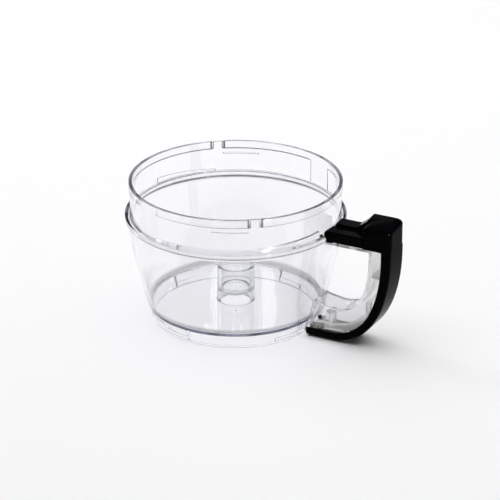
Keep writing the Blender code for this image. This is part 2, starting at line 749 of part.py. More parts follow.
def make_push_rod():
    """Flat bar with a sloping head, a collar for the spring and a jog that clears the grip."""
    w = ROD_WIDTH / 2
    head = SLOPE_OFFSET + GAP * math.sqrt(2)
    outline = [
        (ROD_LOWER_X - w, ROD_FOOT),
        (ROD_LOWER_X + w, ROD_FOOT),
        (ROD_LOWER_X + w, ROD_JOG_LOW),
        (ROD_X + w, ROD_JOG_HIGH),
        (ROD_X + w, ROD_X + w - head),
        (ROD_X - w, ROD_X - w - head),
        (ROD_X - w, ROD_JOG_HIGH),
        (ROD_LOWER_X - w, ROD_JOG_LOW),
    ]
    half = ROD_THICKNESS / 2
    rod = add("push_rod", plate(outline, MECH_Y - half, MECH_Y + half), NATURAL)
    collar = block(
        ROD_X - ROD_COLLAR_LENGTH / 2,
        ROD_X + ROD_COLLAR_LENGTH / 2,
        MECH_Y - ROD_COLLAR_WIDTH / 2,
        MECH_Y + ROD_COLLAR_WIDTH / 2,
        ROD_COLLAR_LOW,
        ROD_COLLAR_LOW + ROD_COLLAR_THICKNESS,
    )
    return combine(rod, "UNION", ("rod_collar", collar))


def make_spring_washer():
    top = ROD_COLLAR_LOW - GAP
    low = top - WASHER_THICKNESS
    washer = add("spring_washer", rod_z(ROD_X, MECH_Y, low, top, WASHER_RADIUS, 20), STEEL)
    hole = math.hypot(ROD_WIDTH, ROD_THICKNESS) / 2 + GAP
    bore = rod_z(ROD_X, MECH_Y, low - 0.001, top + 0.001, hole, 20)
    return combine(washer, "DIFFERENCE", ("washer_hole", bore))


def make_return_spring():
    """Coil swept along a helix, its ends ground flat by lying on the seats."""
    low = GUIDE_TOP + GAP + SPRING_WIRE / 2
    high = ROD_COLLAR_LOW - 2 * GAP - WASHER_THICKNESS - SPRING_WIRE / 2
    per_turn = 12
    count = SPRING_TURNS * per_turn
    sides = 6
    bm = bmesh.new()
    rings = []
    for i in range(count + 1):
        turn = 2 * math.pi * i / per_turn
        height = low + (high - low) * i / count
        ring = []
        for k in range(sides):
            a = 2 * math.pi * k / sides
            r = SPRING_RADIUS + SPRING_WIRE / 2 * math.cos(a)
            z = height + SPRING_WIRE / 2 * math.sin(a)
            ring.append(bm.verts.new((ROD_X + r * math.cos(turn), MECH_Y + r * math.sin(turn), z)))
        rings.append(ring)
    for a, b in zip(rings, rings[1:]):
        for k in range(sides):
            bm.faces.new((a[k], a[(k + 1) % sides], b[(k + 1) % sides], b[k]))
    bm.faces.new(rings[0])
    bm.faces.new(rings[-1])
    return add("return_spring", bm, STEEL)


def make_rod_guide():
    """Bridge across the channel, clipped between the frame's sides, with a window for the rod."""
    low = GUIDE_TOP - GUIDE_THICKNESS
    half = FRAME_INNER_HALF - GAP
    bar = block(GUIDE_START, GUIDE_END, -half, half, low, GUIDE_TOP)
    guide = add("rod_guide", bar, NATURAL)
    window = block(
        ROD_X - ROD_WIDTH / 2 - SLOT_CLEARANCE,
        ROD_X + ROD_WIDTH / 2 + SLOT_CLEARANCE,
        MECH_Y - ROD_THICKNESS / 2 - SLOT_CLEARANCE,
        MECH_Y + ROD_THICKNESS / 2 + SLOT_CLEARANCE,
        low - 0.002,
        GUIDE_TOP + 0.002,
    )
    return combine(guide, "DIFFERENCE", ("guide_window", window))


def make_foot_lever():
    half = LEVER_THICKNESS / 2
    lever = add("foot_lever", plate(LEVER_OUTLINE, MECH_Y - half, MECH_Y + half), NATURAL)
    hole = rod_y(LEVER_PIVOT_X, LEVER_PIVOT_Z, -0.02, 0.02, PIN_RADIUS + GAP, 16)
    return combine(lever, "DIFFERENCE", ("lever_hole", hole))


def make_lever_pin():
    half = FRAME_HALF - PIN_END_GAP
    return add("lever_pin", rod_y(LEVER_PIVOT_X, LEVER_PIVOT_Z, -half, half, PIN_RADIUS, 16), STEEL)


def make_pivot_block():
    """Black block between the lever and the near side wall. The pin runs through it."""
    x0, x1, z0, z1 = PIVOT_BLOCK
    near = -FRAME_INNER_HALF + GAP
    body = block(x0, x1, near, MECH_Y - LEVER_THICKNESS / 2 - GAP, z0, z1)
    made = add("pivot_block", body, BLACK_SATIN)
    hole = rod_y(LEVER_PIVOT_X, LEVER_PIVOT_Z, -0.02, 0.02, PIN_RADIUS + GAP, 16)
    return combine(made, "DIFFERENCE", ("block_hole", hole))


def make_wall_plug():
    """Small black plug that closes a hole in the near side wall of the clear frame."""
    body = rod_y(PLUG_X, PLUG_Z, -FRAME_HALF, -FRAME_INNER_HALF, PLUG_RADIUS, 16)
    return add("wall_plug", body, BLACK_SATIN)


def make_screw(name, x, y, face):
    """Screw driven upwards, its head just inside the face at the given height."""
    low = face + SCREW_SINK
    neck = low + SCREW_HEAD_HEIGHT
    head, shank = SCREW_HEAD_RADIUS, SCREW_RADIUS
    profile = [(0.0, low), (head - 0.0004, low), (head, low + 0.0004), (head, neck)]
    profile += [(shank, neck), (shank, face + SCREW_LENGTH - 0.0008)]
    profile += [(shank - 0.0008, face + SCREW_LENGTH), (0.0, face + SCREW_LENGTH)]
    bm = turned(profile, segments=16)
    bmesh.ops.translate(bm, verts=bm.verts, vec=(x, y, 0))
    screw = add(name, bm, STEEL)
    cross = 0.0030
    for n, (dx, dy) in enumerate(((cross / 2, 0.0004), (0.0004, cross / 2))):
        bar = block(x - dx, x + dx, y - dy, y + dy, low - 0.001, low + 0.0009)
        combine(screw, "DIFFERENCE", (f"{name}_cross_{n}", bar))
    return screw


for left in list(bpy.data.objects):
    bpy.data.objects.remove(left)

AXIS = bpy.data.objects.new("bowl_axis", None)
AXIS.location = (AXIS_X, 0, 0)
bpy.context.scene.collection.objects.link(AXIS)

CLEAR = material("clear_polycarbonate", (0.90, 0.91, 0.97), 0.03, transmission=1.0)
CLEAR_HANDLE = material("clear_handle_plastic", (0.88, 0.88, 0.92), 0.06, transmission=1.0)
BLACK_GLOSS = material("black_gloss_abs", (0.008, 0.008, 0.009), 0.14)
BLACK_SATIN = material("black_acetal", (0.014, 0.014, 0.015), 0.34)
NATURAL = material("natural_acetal", (0.74, 0.74, 0.72), 0.36)
STEEL = material("zinc_plated_steel", (0.62, 0.62, 0.60), 0.30, metallic=1.0)

make_bowl()
make_handle_frame()
make_handle_cover()
make_arm_cover()
make_trigger()
make_push_rod()
make_spring_washer()
make_return_spring()
make_rod_guide()
make_foot_lever()
make_lever_pin()
make_pivot_block()
make_wall_plug()
make_screw("foot_screw", LOWER_SCREW_X, LOWER_SCREW_Y, HANDLE_CLEAR)
make_screw("arm_screw_inner", *ARM_SCREWS[0], ARM_UNDERSIDE)
make_screw("arm_screw_outer", *ARM_SCREWS[1], ARM_UNDERSIDE)
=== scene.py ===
import math
import bmesh
import bpy
import numpy as np
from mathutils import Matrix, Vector


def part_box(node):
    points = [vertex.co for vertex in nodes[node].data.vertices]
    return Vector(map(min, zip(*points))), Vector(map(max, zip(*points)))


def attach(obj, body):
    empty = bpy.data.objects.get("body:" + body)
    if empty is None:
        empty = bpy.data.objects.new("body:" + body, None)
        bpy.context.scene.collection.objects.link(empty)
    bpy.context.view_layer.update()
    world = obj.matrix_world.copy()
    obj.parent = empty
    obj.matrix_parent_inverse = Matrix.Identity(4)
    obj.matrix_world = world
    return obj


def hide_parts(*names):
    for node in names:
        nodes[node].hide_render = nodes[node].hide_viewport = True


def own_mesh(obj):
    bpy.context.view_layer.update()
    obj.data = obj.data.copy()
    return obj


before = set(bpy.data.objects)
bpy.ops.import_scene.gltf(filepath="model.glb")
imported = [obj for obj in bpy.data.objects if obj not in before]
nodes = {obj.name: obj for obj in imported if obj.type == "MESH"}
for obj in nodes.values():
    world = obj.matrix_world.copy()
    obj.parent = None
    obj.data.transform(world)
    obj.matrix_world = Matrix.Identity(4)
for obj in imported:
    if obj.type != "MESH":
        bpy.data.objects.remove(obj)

scene = bpy.context.scene
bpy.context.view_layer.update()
bowlLow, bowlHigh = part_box("work_bowl")
axisX = (bowlLow.x + bowlHigh.x) / 2  # the bowl's own axis stands here, and every piece is drawn about it
mm = 0.001


# angles in degrees, lengths in metres, and the lens in millimetres
camera = {"azimuth": 28.0, "elevation": 23.8, "distance": 2.5, "lens": 190.4,
          "sideStep": 0.0134, "height": 0.0643}


def makeCamera(c):
    a, e = math.radians(c["azimuth"]), math.radians(c["elevation"])
    back = Vector((math.sin(a) * math.cos(e), -math.cos(a) * math.cos(e), math.sin(e)))
    right = Vector((math.cos(a), math.sin(a), 0))
    target = Vector((axisX, 0, c["height"])) + right * c["sideStep"]
    data = bpy.data.cameras.new("camera")
    data.lens = c["lens"]
    data.sensor_width = 36
    data.clip_start, data.clip_end = 0.1, 50
    made = bpy.data.objects.new("camera", data)
    scene.collection.objects.link(made)
    made.location = target + back * c["distance"]
    made.rotation_mode = "QUATERNION"
    made.rotation_quaternion = (-back).to_track_quat("-Z", "Y")
    scene.camera = made


makeCamera(camera)
print("camera placed")


def newMaterial(name):
    made = bpy.data.materials.new(name)
    made.use_nodes = True
    tree = made.node_tree
    return made, tree, tree.nodes["Principled BSDF"]


def addNode(tree, kind, values=None, **settings):
    made = tree.nodes.new(kind)
    for key, value in settings.items():
        setattr(made, key, value)
    for key, value in (values or {}).items():
        made.inputs[key].default_value = value
    return made


def objectPlace(tree, centre=(0, 0, 0), scale=(1, 1, 1)):
    place = addNode(tree, "ShaderNodeTexCoord")
    offset = [-c * s for c, s in zip(centre, scale)]
    mapping = addNode(tree, "ShaderNodeMapping", {"Location": offset, "Scale": scale})
    tree.links.new(place.outputs["Object"], mapping.inputs["Vector"])
    return mapping.outputs["Vector"]


def noise(tree, place, scale, detail=2.0, roughness=0.5):
    made = addNode(tree, "ShaderNodeTexNoise", {"Scale": scale, "Detail": detail, "Roughness": roughness})
    tree.links.new(place, made.inputs["Vector"])
    return made.outputs["Fac"]


def spread(tree, value, low, high, fromLow=0.0, fromHigh=1.0):
    ends = {"From Min": fromLow, "From Max": fromHigh, "To Min": low, "To Max": high}
    made = addNode(tree, "ShaderNodeMapRange", ends)
    tree.links.new(value, made.inputs["Value"])
    return made.outputs["Result"]


def bump(tree, shader, height, strength, distance):
    made = addNode(tree, "ShaderNodeBump", {"Strength": strength, "Distance": distance})
    tree.links.new(height, made.inputs["Height"])
    tree.links.new(made.outputs["Normal"], shader.inputs["Normal"])


# Clear plastic is a smooth refracting surface over a body that absorbs a little. Shadow and diffuse rays
# pass straight through with a slight loss. On tight edges a dark colour is mixed into the surface as painted
# shade, by an attribute.
def clearPlastic(name, look):
    made, tree, shader = newMaterial(name)
    shader.inputs["Base Color"].default_value = (*look["surface"], 1)
    shader.inputs["Transmission Weight"].default_value = look["clear"]
    shader.inputs["IOR"].default_value = look["ior"]
    # painted shade: the dark edge colour is mixed into the surface where the attribute rises
    if "edge" in look:
        shade = addNode(tree, "ShaderNodeAttribute", attribute_name="edgeShade")
        paintedShadeMix = addNode(tree, "ShaderNodeMix", data_type="RGBA")
        paintedShadeMix.inputs[6].default_value = (*look["surface"], 1)
        paintedShadeMix.inputs[7].default_value = (*look["edge"], 1)
        tree.links.new(shade.outputs["Fac"], paintedShadeMix.inputs[0])
        tree.links.new(paintedShadeMix.outputs[2], shader.inputs["Base Color"])
    place = objectPlace(tree, (axisX, 0, 0))
    haze = noise(tree, place, 60, 4)
    tree.links.new(spread(tree, haze, *look["roughness"], 0.35, 0.7), shader.inputs["Roughness"])
    flow = noise(tree, place, look["waveScale"], 1)  # slow waviness of a moulded wall
    bump(tree, shader, flow, look["wave"], 0.0006)
    through = addNode(tree, "ShaderNodeBsdfTransparent", {"Color": (*look["shadow"], 1)})
    ray = addNode(tree, "ShaderNodeLightPath")
    mix = addNode(tree, "ShaderNodeMixShader")
    either = addNode(tree, "ShaderNodeMath", operation="MAXIMUM")
    tree.links.new(ray.outputs["Is Shadow Ray"], either.inputs[0])
    tree.links.new(ray.outputs["Is Diffuse Ray"], either.inputs[1])
    tree.links.new(either.outputs[0], mix.inputs[0])
    tree.links.new(shader.outputs[0], mix.inputs[1])
    tree.links.new(through.outputs[0], mix.inputs[2])
    output = tree.nodes["Material Output"]
    tree.links.new(mix.outputs[0], output.inputs["Surface"])
    inside = {"Color": (*look["body"], 1), "Density": look["density"]}
    body = addNode(tree, "ShaderNodeVolumeAbsorption", inside)
    tree.links.new(body.outputs[0], output.inputs["Volume"])
    return made


# Black plastic: smears of more and less gloss, and a fine moulded grain.
def blackPlastic(name, look):
    made, tree, shader = newMaterial(name)
    shader.inputs["Base Color"].default_value = (*look["colour"], 1)
    shader.inputs["Specular IOR Level"].default_value = look["shine"]
    place = objectPlace(tree)
    smear = noise(tree, place, 45, 5, 0.6)
    tree.links.new(spread(tree, smear, *look["roughness"], 0.3, 0.7), shader.inputs["Roughness"])
    fine = noise(tree, place, 1600, 2)
    bump(tree, shader, fine, look["grain"], 0.00005)
    return made


# the bowl's edge colour is near black: painted shade for its tight edges
bowlLook = {"surface": (1, 1, 1), "edge": (0.0, 0.0, 0.002), "clear": 1.0, "ior": 1.58,
            "roughness": (0.0, 0.015), "wave": 0.10, "waveScale": 26,
            "shadow": (0.986, 0.986, 0.987), "body": (0.29, 0.31, 0.56), "density": 12.0}
frameLook = {"surface": (1, 1, 1), "clear": 0.87, "ior": 1.5,
             "roughness": (0.0, 0.05), "wave": 0.9, "waveScale": 95,
             "shadow": (0.985, 0.985, 0.985), "body": (0.30, 0.32, 0.52), "density": 7.0}
glossLook = {"colour": (0.0015, 0.0014, 0.0019), "roughness": (0.06, 0.12), "grain": 0.05, "shine": 0.012}
satinLook = {"colour": (0.004, 0.004, 0.0045), "roughness": (0.30, 0.42), "grain": 0.2, "shine": 0.10}
milkyLook = {"colour": (0.93, 0.93, 0.92), "clear": 0.88, "ior": 1.48, "roughness": (0.25, 0.4), "grain": 0.1}
steelLook = {"colour": (0.62, 0.62, 0.6), "roughness": (0.2, 0.4)}


# Natural acetal lets most of the light through and blurs it.
def milkyPlastic(name, look):
    made, tree, shader = newMaterial(name)
    shader.inputs["Base Color"].default_value = (*look["colour"], 1)
    shader.inputs["Transmission Weight"].default_value = look["clear"]
    shader.inputs["IOR"].default_value = look["ior"]
    place = objectPlace(tree)
    tree.links.new(spread(tree, noise(tree, place, 120, 4), *look["roughness"]), shader.inputs["Roughness"])
    bump(tree, shader, noise(tree, place, 900, 2), look["grain"], 0.00005)
    return made


def platedSteel(name, look):
    made, tree, shader = newMaterial(name)
    shader.inputs["Base Color"].default_value = (*look["colour"], 1)
    shader.inputs["Metallic"].default_value = 1
    place = objectPlace(tree)
    tree.links.new(spread(tree, noise(tree, place, 300, 3), *look["roughness"]), shader.inputs["Roughness"])
    return made


clearBowl = clearPlastic("clearBowl", bowlLook)
clearHandle = clearPlastic("clearHandle", frameLook)
glossBlack = blackPlastic("glossBlack", glossLook)
satinBlack = blackPlastic("satinBlack", satinLook)
milky = milkyPlastic("naturalAcetal", milkyLook)
steel = platedSteel("platedSteel", steelLook)
finishes = {"work_bowl": clearBowl, "handle_frame": clearHandle, "handle_cover": glossBlack,
            "arm_cover": glossBlack, "lid_trigger": satinBlack, "pivot_block": satinBlack,
            "wall_plug": satinBlack, "foot_lever": milky, "push_rod": milky, "rod_guide": milky}
for name, node in nodes.items():
    node.data.materials.clear()
    node.data.materials.append(finishes.get(name, steel))
print("materials set")


# rounded(): each corner of a closed outline becomes a quadratic curve that leaves and meets its two sides
# at the fillet's length, never more than 0.42 of a side. One extra row just outside each curve keeps flat
# sides flat. corners is an array (corner, station, axis). The result has more corners, and as many stations.
def rounded(corners, fillets, steps):
    count = len(corners)
    mostOfSide, outside = 0.42, 0.16
    before = np.roll(corners, 1, 0) - corners
    after = np.roll(corners, -1, 0) - corners
    rows = []
    for i in range(count):
        length = np.broadcast_to(np.asarray(fillets[i], float), corners.shape[1:2])[:, None]
        if not length.any():
            rows.append(corners[i])
            continue
        a, b = before[i], after[i]
        aLong = np.linalg.norm(a, axis=1, keepdims=True)
        bLong = np.linalg.norm(b, axis=1, keepdims=True)
        cut = np.minimum(length, mostOfSide * np.minimum(aLong, bLong))
        start, end = corners[i] + a / aLong * cut, corners[i] + b / bLong * cut
        rows.append(start + a / aLong * cut * outside)
        for t in np.linspace(0, 1, steps + 1):
            rows.append((1 - t) ** 2 * start + 2 * t * (1 - t) * corners[i] + t * t * end)
        rows.append(end + b / bLong * cut * outside)
    return np.stack(rows)


# place(): millimetres about the bowl's axis to metres in the frame
def place(points):
    return points * mm + np.array([axisX, 0, 0])


# gridPiece(): points is (row, column, 3), and a face joins each point to the next row and the next column.
# Columns close on themselves. Rows close too, or else one many-sided face caps each end.
def gridPiece(name, points, surface, closeRows=False):
    rows, columns = points.shape[:2]
    i, j = np.meshgrid(np.arange(rows if closeRows else rows - 1), np.arange(columns), indexing="ij")
    n, k = (i + 1) % rows, (j + 1) % columns
    quads = np.stack([i * columns + j, i * columns + k, n * columns + k, n * columns + j], -1).reshape(-1, 4)
    loops, sizes = quads.ravel(), np.full(len(quads), 4)
    if not closeRows:
        ring = np.arange(columns)
        loops = np.concatenate([loops, ring[::-1], ring + (rows - 1) * columns])
        sizes = np.concatenate([sizes, [columns, columns]])
    mesh = bpy.data.meshes.new(name)
    mesh.vertices.add(rows * columns)
    mesh.vertices.foreach_set("co", points.reshape(-1).astype(np.float32))
    mesh.loops.add(len(loops))
    mesh.loops.foreach_set("vertex_index", loops.astype(np.int32))
    mesh.polygons.add(len(sizes))
    starts = np.concatenate([[0], np.cumsum(sizes)[:-1]])
    mesh.polygons.foreach_set("loop_start", starts.astype(np.int32))
    mesh.update(calc_edges=True)
    mesh.validate()
    work = bmesh.new()
    work.from_mesh(mesh)
    bmesh.ops.remove_doubles(work, verts=work.verts, dist=2e-6)
    bmesh.ops.recalc_face_normals(work, faces=work.faces)
    work.to_mesh(mesh)
    work.free()
    mesh.shade_smooth()
    mesh.set_sharp_from_angle(angle=math.radians(40))
    mesh.materials.append(surface)
    made = bpy.data.objects.new(name, mesh)
    scene.collection.objects.link(made)
    return made


# work bowl: lengths in millimetres about the bowl's axis, angles in degrees from the handle
bowl = {"height": 137.0, "footRadius": 79.5, "topRadius": 102.2, "bulge": 1.8, "wall": 2.6,
        "floorTop": 15.6, "floorUnder": 12.8, "floorFillet": 5.0, "skirtStep": 0.8,
        "lipRadius": 104.3, "lipLow": 99.0, "lipHigh": 104.0, "collarRadius": 99.3, "collarLow": 106.8,
        "collarWall": 2.5, "ribLow": 129.2, "ribStand": 1.0, "groove": 1.3, "grooveHalf": 0.75,
        "gapAngles": (-51.5, 128.5), "gapSpan": 6.4, "ledgeTop": 124.8, "ledgeTall": 1.1, "ledgeSpan": 20.0,
        "stopAngles": (63.0, 243.0), "stopSpan": 16.0, "stopBlend": (0.35, 9.0),
        "rampStart": 1.5, "rampSpan": 38.0, "rampRise": 4.5, "rampStand": 1.6,
        "notch": (-8.9, 0.3), "notchRadius": 101.3,
        "lugAngles": (74.4, 157.0, 254.4, 337.0), "lugSpan": 22.0, "lugDepth": 2.2, "lugShown": 0.5,
        "lugBand": (2.1, 2.5, 5.5, 5.9), "skirtRib": 1.8,
        "floorRings": (66, 52, 38, 27), "underRings": (30, 46, 62),
        # how strongly painted shade darkens each kind of edge
        "gapShade": 0.96, "ribShade": 0.96, "lipShade": 0.80, "floorShade": 0.70,
        "columnRadius": 17.6, "columnTop": 50.0, "columnBore": 14.2, "columnFoot": 0.6,
        "shelfTop": 28.5, "shelfThick": 2.6, "shaftHole": 11.8, "columns": 190}


# within(): 1 between two angles and 0 outside them, with an s-shaped change of blend degrees at each end.
def within(angles, low, high, blend=0.5):
    middle, half = (low + high) / 2, (high - low) / 2
    off = np.abs((angles - middle + 180) % 360 - 180) - half
    t = np.clip(0.5 - off / blend, 0, 1)
    return t * t * (3 - 2 * t)


# bowlAngles(): even steps all round, and more of them close to every edge that runs up the wall.
def bowlAngles(b):
    edges = []
    for a in b["gapAngles"]:
        edges += [a - b["gapSpan"] / 2, a + b["gapSpan"] / 2, a - b["gapSpan"] / 2 - b["ledgeSpan"],
                  a + b["rampStart"], a + b["rampStart"] + b["rampSpan"]]
    for a in b["stopAngles"]:
        edges += [a - b["stopSpan"] / 2, a + b["stopSpan"] / 2]
    for a in b["lugAngles"]:
        edges += [a - b["lugSpan"] / 2, a + b["lugSpan"] / 2, a + b["lugSpan"] / 2 - b["skirtRib"]]
    edges += list(b["notch"])
    even = np.linspace(0, 360, b["columns"], endpoint=False)
    steps = np.array([-1.1, -0.75, -0.3, -0.1, 0.1, 0.3, 0.75, 1.1])
    close = (np.array(edges)[:, None] + steps).ravel() % 360
    return np.unique(np.round(np.concatenate([even, close]), 3))


# bowlOutside(): the wall's outer radius at a height, a straight taper with a parabola's bulge on it.
def bowlOutside(b, z):
    share = np.asarray(z) / b["lipLow"]
    return b["footRadius"] + (b["topRadius"] - b["footRadius"]) * share + 4 * b["bulge"] * share * (1 - share)


def gapEnds(b):
    return [a + k * b["gapSpan"] / 2 for a in b["gapAngles"] for k in (-1, 1)]


# bowlSection(): the bowl's whole outline at every angle, as (radius, height) from the skirt's lower edge up
# the outside, over the rim, down the inside and the column, and back under the floor.
def bowlSection(b, angles):
    one = np.ones_like(angles)
    gap = sum(within(angles, a - b["gapSpan"] / 2, a + b["gapSpan"] / 2) for a in b["gapAngles"])
    ledge = sum(within(angles, a - b["gapSpan"] / 2 - b["ledgeSpan"], a - b["gapSpan"] / 2)
                for a in b["gapAngles"])
    stop = sum(within(angles, a - b["stopSpan"] / 2, a + b["stopSpan"] / 2, soft)
               for a, soft in zip(b["stopAngles"], b["stopBlend"]))
    ramp, climb = 0, 0
    for a in b["gapAngles"]:
        first = a + b["rampStart"]
        ramp = ramp + within(angles, first, first + b["rampSpan"])
        along = ((angles - first + 1) % 360 - 1) / b["rampSpan"]
        climb = climb + within(angles, first, first + b["rampSpan"]) * (0.15 + 0.85 * np.clip(along, 0, 1))
    notch = within(angles, *b["notch"])
    lug = sum(within(angles, a - b["lugSpan"] / 2, a + b["lugSpan"] / 2) for a in b["lugAngles"])
    lugEnds = [a + b["lugSpan"] / 2 for a in b["lugAngles"]]
    rib = sum(within(angles, a - b["skirtRib"], a) for a in lugEnds)
    c, w, h = b["collarRadius"], b["wall"], b["height"]
    stand = b["ribStand"]
    collar = c + stand * stop
    lip = b["lipRadius"] + (b["notchRadius"] - b["lipRadius"]) * notch
    underLip = np.minimum(bowlOutside(b, b["lipLow"] - 0.2), lip)
    rampOut = c + np.maximum(b["rampStand"] * ramp, stand * stop)
    slope = (b["collarLow"] - b["lipHigh"]) / (b["lipRadius"] - c)
    rampTop = b["collarLow"] + 0.2 + b["rampRise"] * climb
    groove = sum(within(angles, a - b["grooveHalf"], a + b["grooveHalf"], 0.7) for a in gapEnds(b))
    rim = c + stand * (1 - gap) - b["groove"] * groove
    inner = c - b["collarWall"]
    skirtTop = bowlOutside(b, b["floorTop"]) - b["skirtStep"]
    points, fillets = [], []

    def at(radius, height, fillet=0.0):
        points.append((one * radius, one * height))
        fillets.append(fillet)

    at(b["footRadius"], 0, 0.7)
    at(skirtTop, b["floorTop"] - 1.0, 0.4)
    at(bowlOutside(b, b["floorTop"]), b["floorTop"] + 0.2, 0.4)
    for z in np.linspace(b["floorTop"], b["lipLow"] - 0.2, 12)[1:-1]:
        at(bowlOutside(b, z), z)
    at(underLip, b["lipLow"], 0.8)
    at(lip, b["lipLow"] + 0.9, 0.8)
    at(lip, b["lipLow"] + 2.2)
    at(lip, b["lipHigh"], 0.6)
    at(rampOut + 0.02, b["collarLow"] - slope * (rampOut - c), 0.9)
    at(rampOut, rampTop, 0.5)
    at(collar, rampTop + 0.35, 0.4)
    at(collar, b["ledgeTop"] - b["ledgeTall"] - 0.1, 0.2)
    at(collar + (stand * ledge), b["ledgeTop"] - b["ledgeTall"], 0.25)
    at(collar + (stand * ledge), b["ledgeTop"], 0.25)
    at(collar, b["ledgeTop"] + 0.1, 0.2)
    at(collar, b["ribLow"] - 0.9)
    at(collar, b["ribLow"] - 0.3, 0.5)
    at(np.maximum(rim, collar), b["ribLow"], 0.42)
    at(rim, h, 0.8)
    at(inner, h, 0.8)
    at(inner, b["collarLow"] - 1.2, 1.4)
    at(bowlOutside(b, b["lipLow"] - 1.5) - w, b["lipLow"] - 1.5, 1.6)
    for z in np.linspace(b["lipLow"] - 4, b["floorTop"] + 6, 10):
        at(bowlOutside(b, z) - w, z)
    at(bowlOutside(b, b["floorTop"]) - w - 0.1, b["floorTop"], b["floorFillet"])
    for r in b["floorRings"]:
        at(r, b["floorTop"])
    at(b["columnRadius"] + 0.35, b["floorTop"], b["columnFoot"])
    at(b["columnRadius"] - 0.25, b["columnTop"], 1.0)
    at(b["columnBore"] - 0.1, b["columnTop"], 1.0)
    at(b["columnBore"], b["shelfTop"], 1.0)
    at(b["shaftHole"], b["shelfTop"], 1.2)
    at(b["shaftHole"], b["shelfTop"] - b["shelfThick"], 1.2)
    at(b["columnBore"], b["shelfTop"] - b["shelfThick"], 1.0)
    at(b["columnBore"] + 0.3, b["floorUnder"], 1.0)
    for r in b["underRings"]:
        at(r, b["floorUnder"])
    under = bowlOutside(b, b["floorUnder"]) - b["skirtStep"] - w
    deep = b["lugDepth"]
    low = b["footRadius"] - w
    lugIn = deep * np.maximum(b["lugShown"] * lug, rib)
    belowLug, lugLow, lugHigh, aboveLug = b["lugBand"]
    at(under - deep * rib, b["floorUnder"], 1.0)
    at(low + 0.25 * (under - low) - deep * rib, aboveLug, 0.2)
    at(low + 0.2 * (under - low) - lugIn, lugHigh, 0.3)
    at(low + 0.15 * (under - low) - lugIn, lugLow, 0.3)
    at(low, belowLug, 0.2)
    at(low, 0, 0.6)
    return np.stack([np.stack(p, -1) for p in points]), fillets


# shadeEdges(): an attribute of painted shade, 0 on the walls, rising on tight edges where clear walls look
# dark
# as light bends away: the ends and lower edge of the rim's rib, the lip's lower edge, and the corner round
# the floor.
def shadeEdges(b, made):
    places = np.array([v.co for v in made.data.vertices]) / mm
    x, y, z = places[:, 0] - axisX / mm, places[:, 1], places[:, 2]
    angles, radius = np.degrees(np.arctan2(y, x)), np.hypot(x, y)
    outside = radius > b["collarRadius"] - 0.6
    inRib = (z > b["ribLow"] - 0.15) & (z < b["height"] - 0.25)
    shade = np.zeros(len(places))
    for a in gapEnds(b):
        mark = within(angles, a - 0.95, a + 0.95, 0.3)
        shade = np.maximum(shade, b["gapShade"] * mark * outside * inRib)
    gap = sum(within(angles, a - b["gapSpan"] / 2, a + b["gapSpan"] / 2) for a in b["gapAngles"])
    half = b["stopSpan"] / 2 + 1
    stop = sum(within(angles, a - half, a + half, 2) for a in b["stopAngles"])
    ribEdge = outside & (np.abs(z - b["ribLow"]) < 0.45)
    shade = np.maximum(shade, b["ribShade"] * (1 - gap) * (1 - stop) * ribEdge)
    lipEdge = (radius > b["lipRadius"] - 0.7) & (z > b["lipLow"] - 0.2) & (z < b["lipLow"] + 1.9)
    shade = np.maximum(shade, b["lipShade"] * lipEdge)
    inside = (radius > b["floorRings"][0] + 4) & (radius < bowlOutside(b, z) - b["wall"] + 0.4)
    floorCorner = inside & (z > b["floorTop"] + 0.2) & (z < b["floorTop"] + 3)
    shade = np.maximum(shade, b["floorShade"] * floorCorner)
    # this attribute carries the painted shade into the surface colour
    values = made.data.attributes.new("edgeShade", "FLOAT", "POINT").data
    values.foreach_set("value", shade.astype(np.float32))


def makeBowl(b, surface):
    angles = bowlAngles(b)
    section, fillets = bowlSection(b, angles)
    section = rounded(section, fillets, 3)
    turn = np.radians(angles)
    radius, height = section[..., 0], section[..., 1]
    points = place(np.stack([radius * np.cos(turn), radius * np.sin(turn), height], -1))
    made = gridPiece("bowlMoulding", points, surface, closeRows=True)
    shadeEdges(b, made)
    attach(made, "bowl")
    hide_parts("work_bowl")
    print("bowl moulded,", len(made.data.polygons), "faces")


makeBowl(bowl, clearBowl)


# handle covers: lengths in millimetres from the bowl's axis. The back of the handle is a cubic curve.
handle = {"reach": 167.0, "clear": 1.2, "spineTop": 95.0, "spineTurn": 112.0, "footStart": 82.3,
          "half": 15.5, "wall": 2.4, "sideWall": 2.1, "depthFoot": 7.4, "depthTop": 8.9, "round": 5.6,
          "blockTop": 122.8, "blockStart": 139.0, "blockLow": 99.7, "blockRound": 3.8, "blockTilt": 2.2,
          "wedgeStart": 124.8, "wedgeEnd": 135.5, "wedgeFoot": 112.6, "slot": (-9.9, -0.1, 110.8, 117.8),
          "armTop": 110.0, "armRise": 2.6, "armLow": 100.0, "armHook": 1.1, "hookEnd": 108.4,
          "nearRoot": 101.6, "farRoot": 104.6, "nubSlot": (113.6, 121.4, -5.2, 2.6)}


def cubic(a, b, c, d, count):
    t = np.linspace(0, 1, count)[:, None]
    a, b, c, d = (np.array(p, float) for p in (a, b, c, d))
    return (1 - t) ** 3 * a + 3 * t * (1 - t) ** 2 * b + 3 * t * t * (1 - t) * c + t ** 3 * d


def spineLine(h, count=90):
    down = h["spineTop"] - h["clear"]
    return cubic((h["reach"], h["spineTop"]), (h["reach"], h["spineTop"] - 0.53 * down),
                 (h["spineTurn"] + 0.69 * (h["reach"] - h["spineTurn"]), h["clear"] + 0.03 * down),
                 (h["spineTurn"], h["clear"]), count)


# inward(): unit normals to the right of the line's direction
def inward(line):
    along = np.gradient(line, axis=0)
    along /= np.linalg.norm(along, axis=1, keepdims=True)
    return np.stack([along[:, 1], -along[:, 0]], -1)


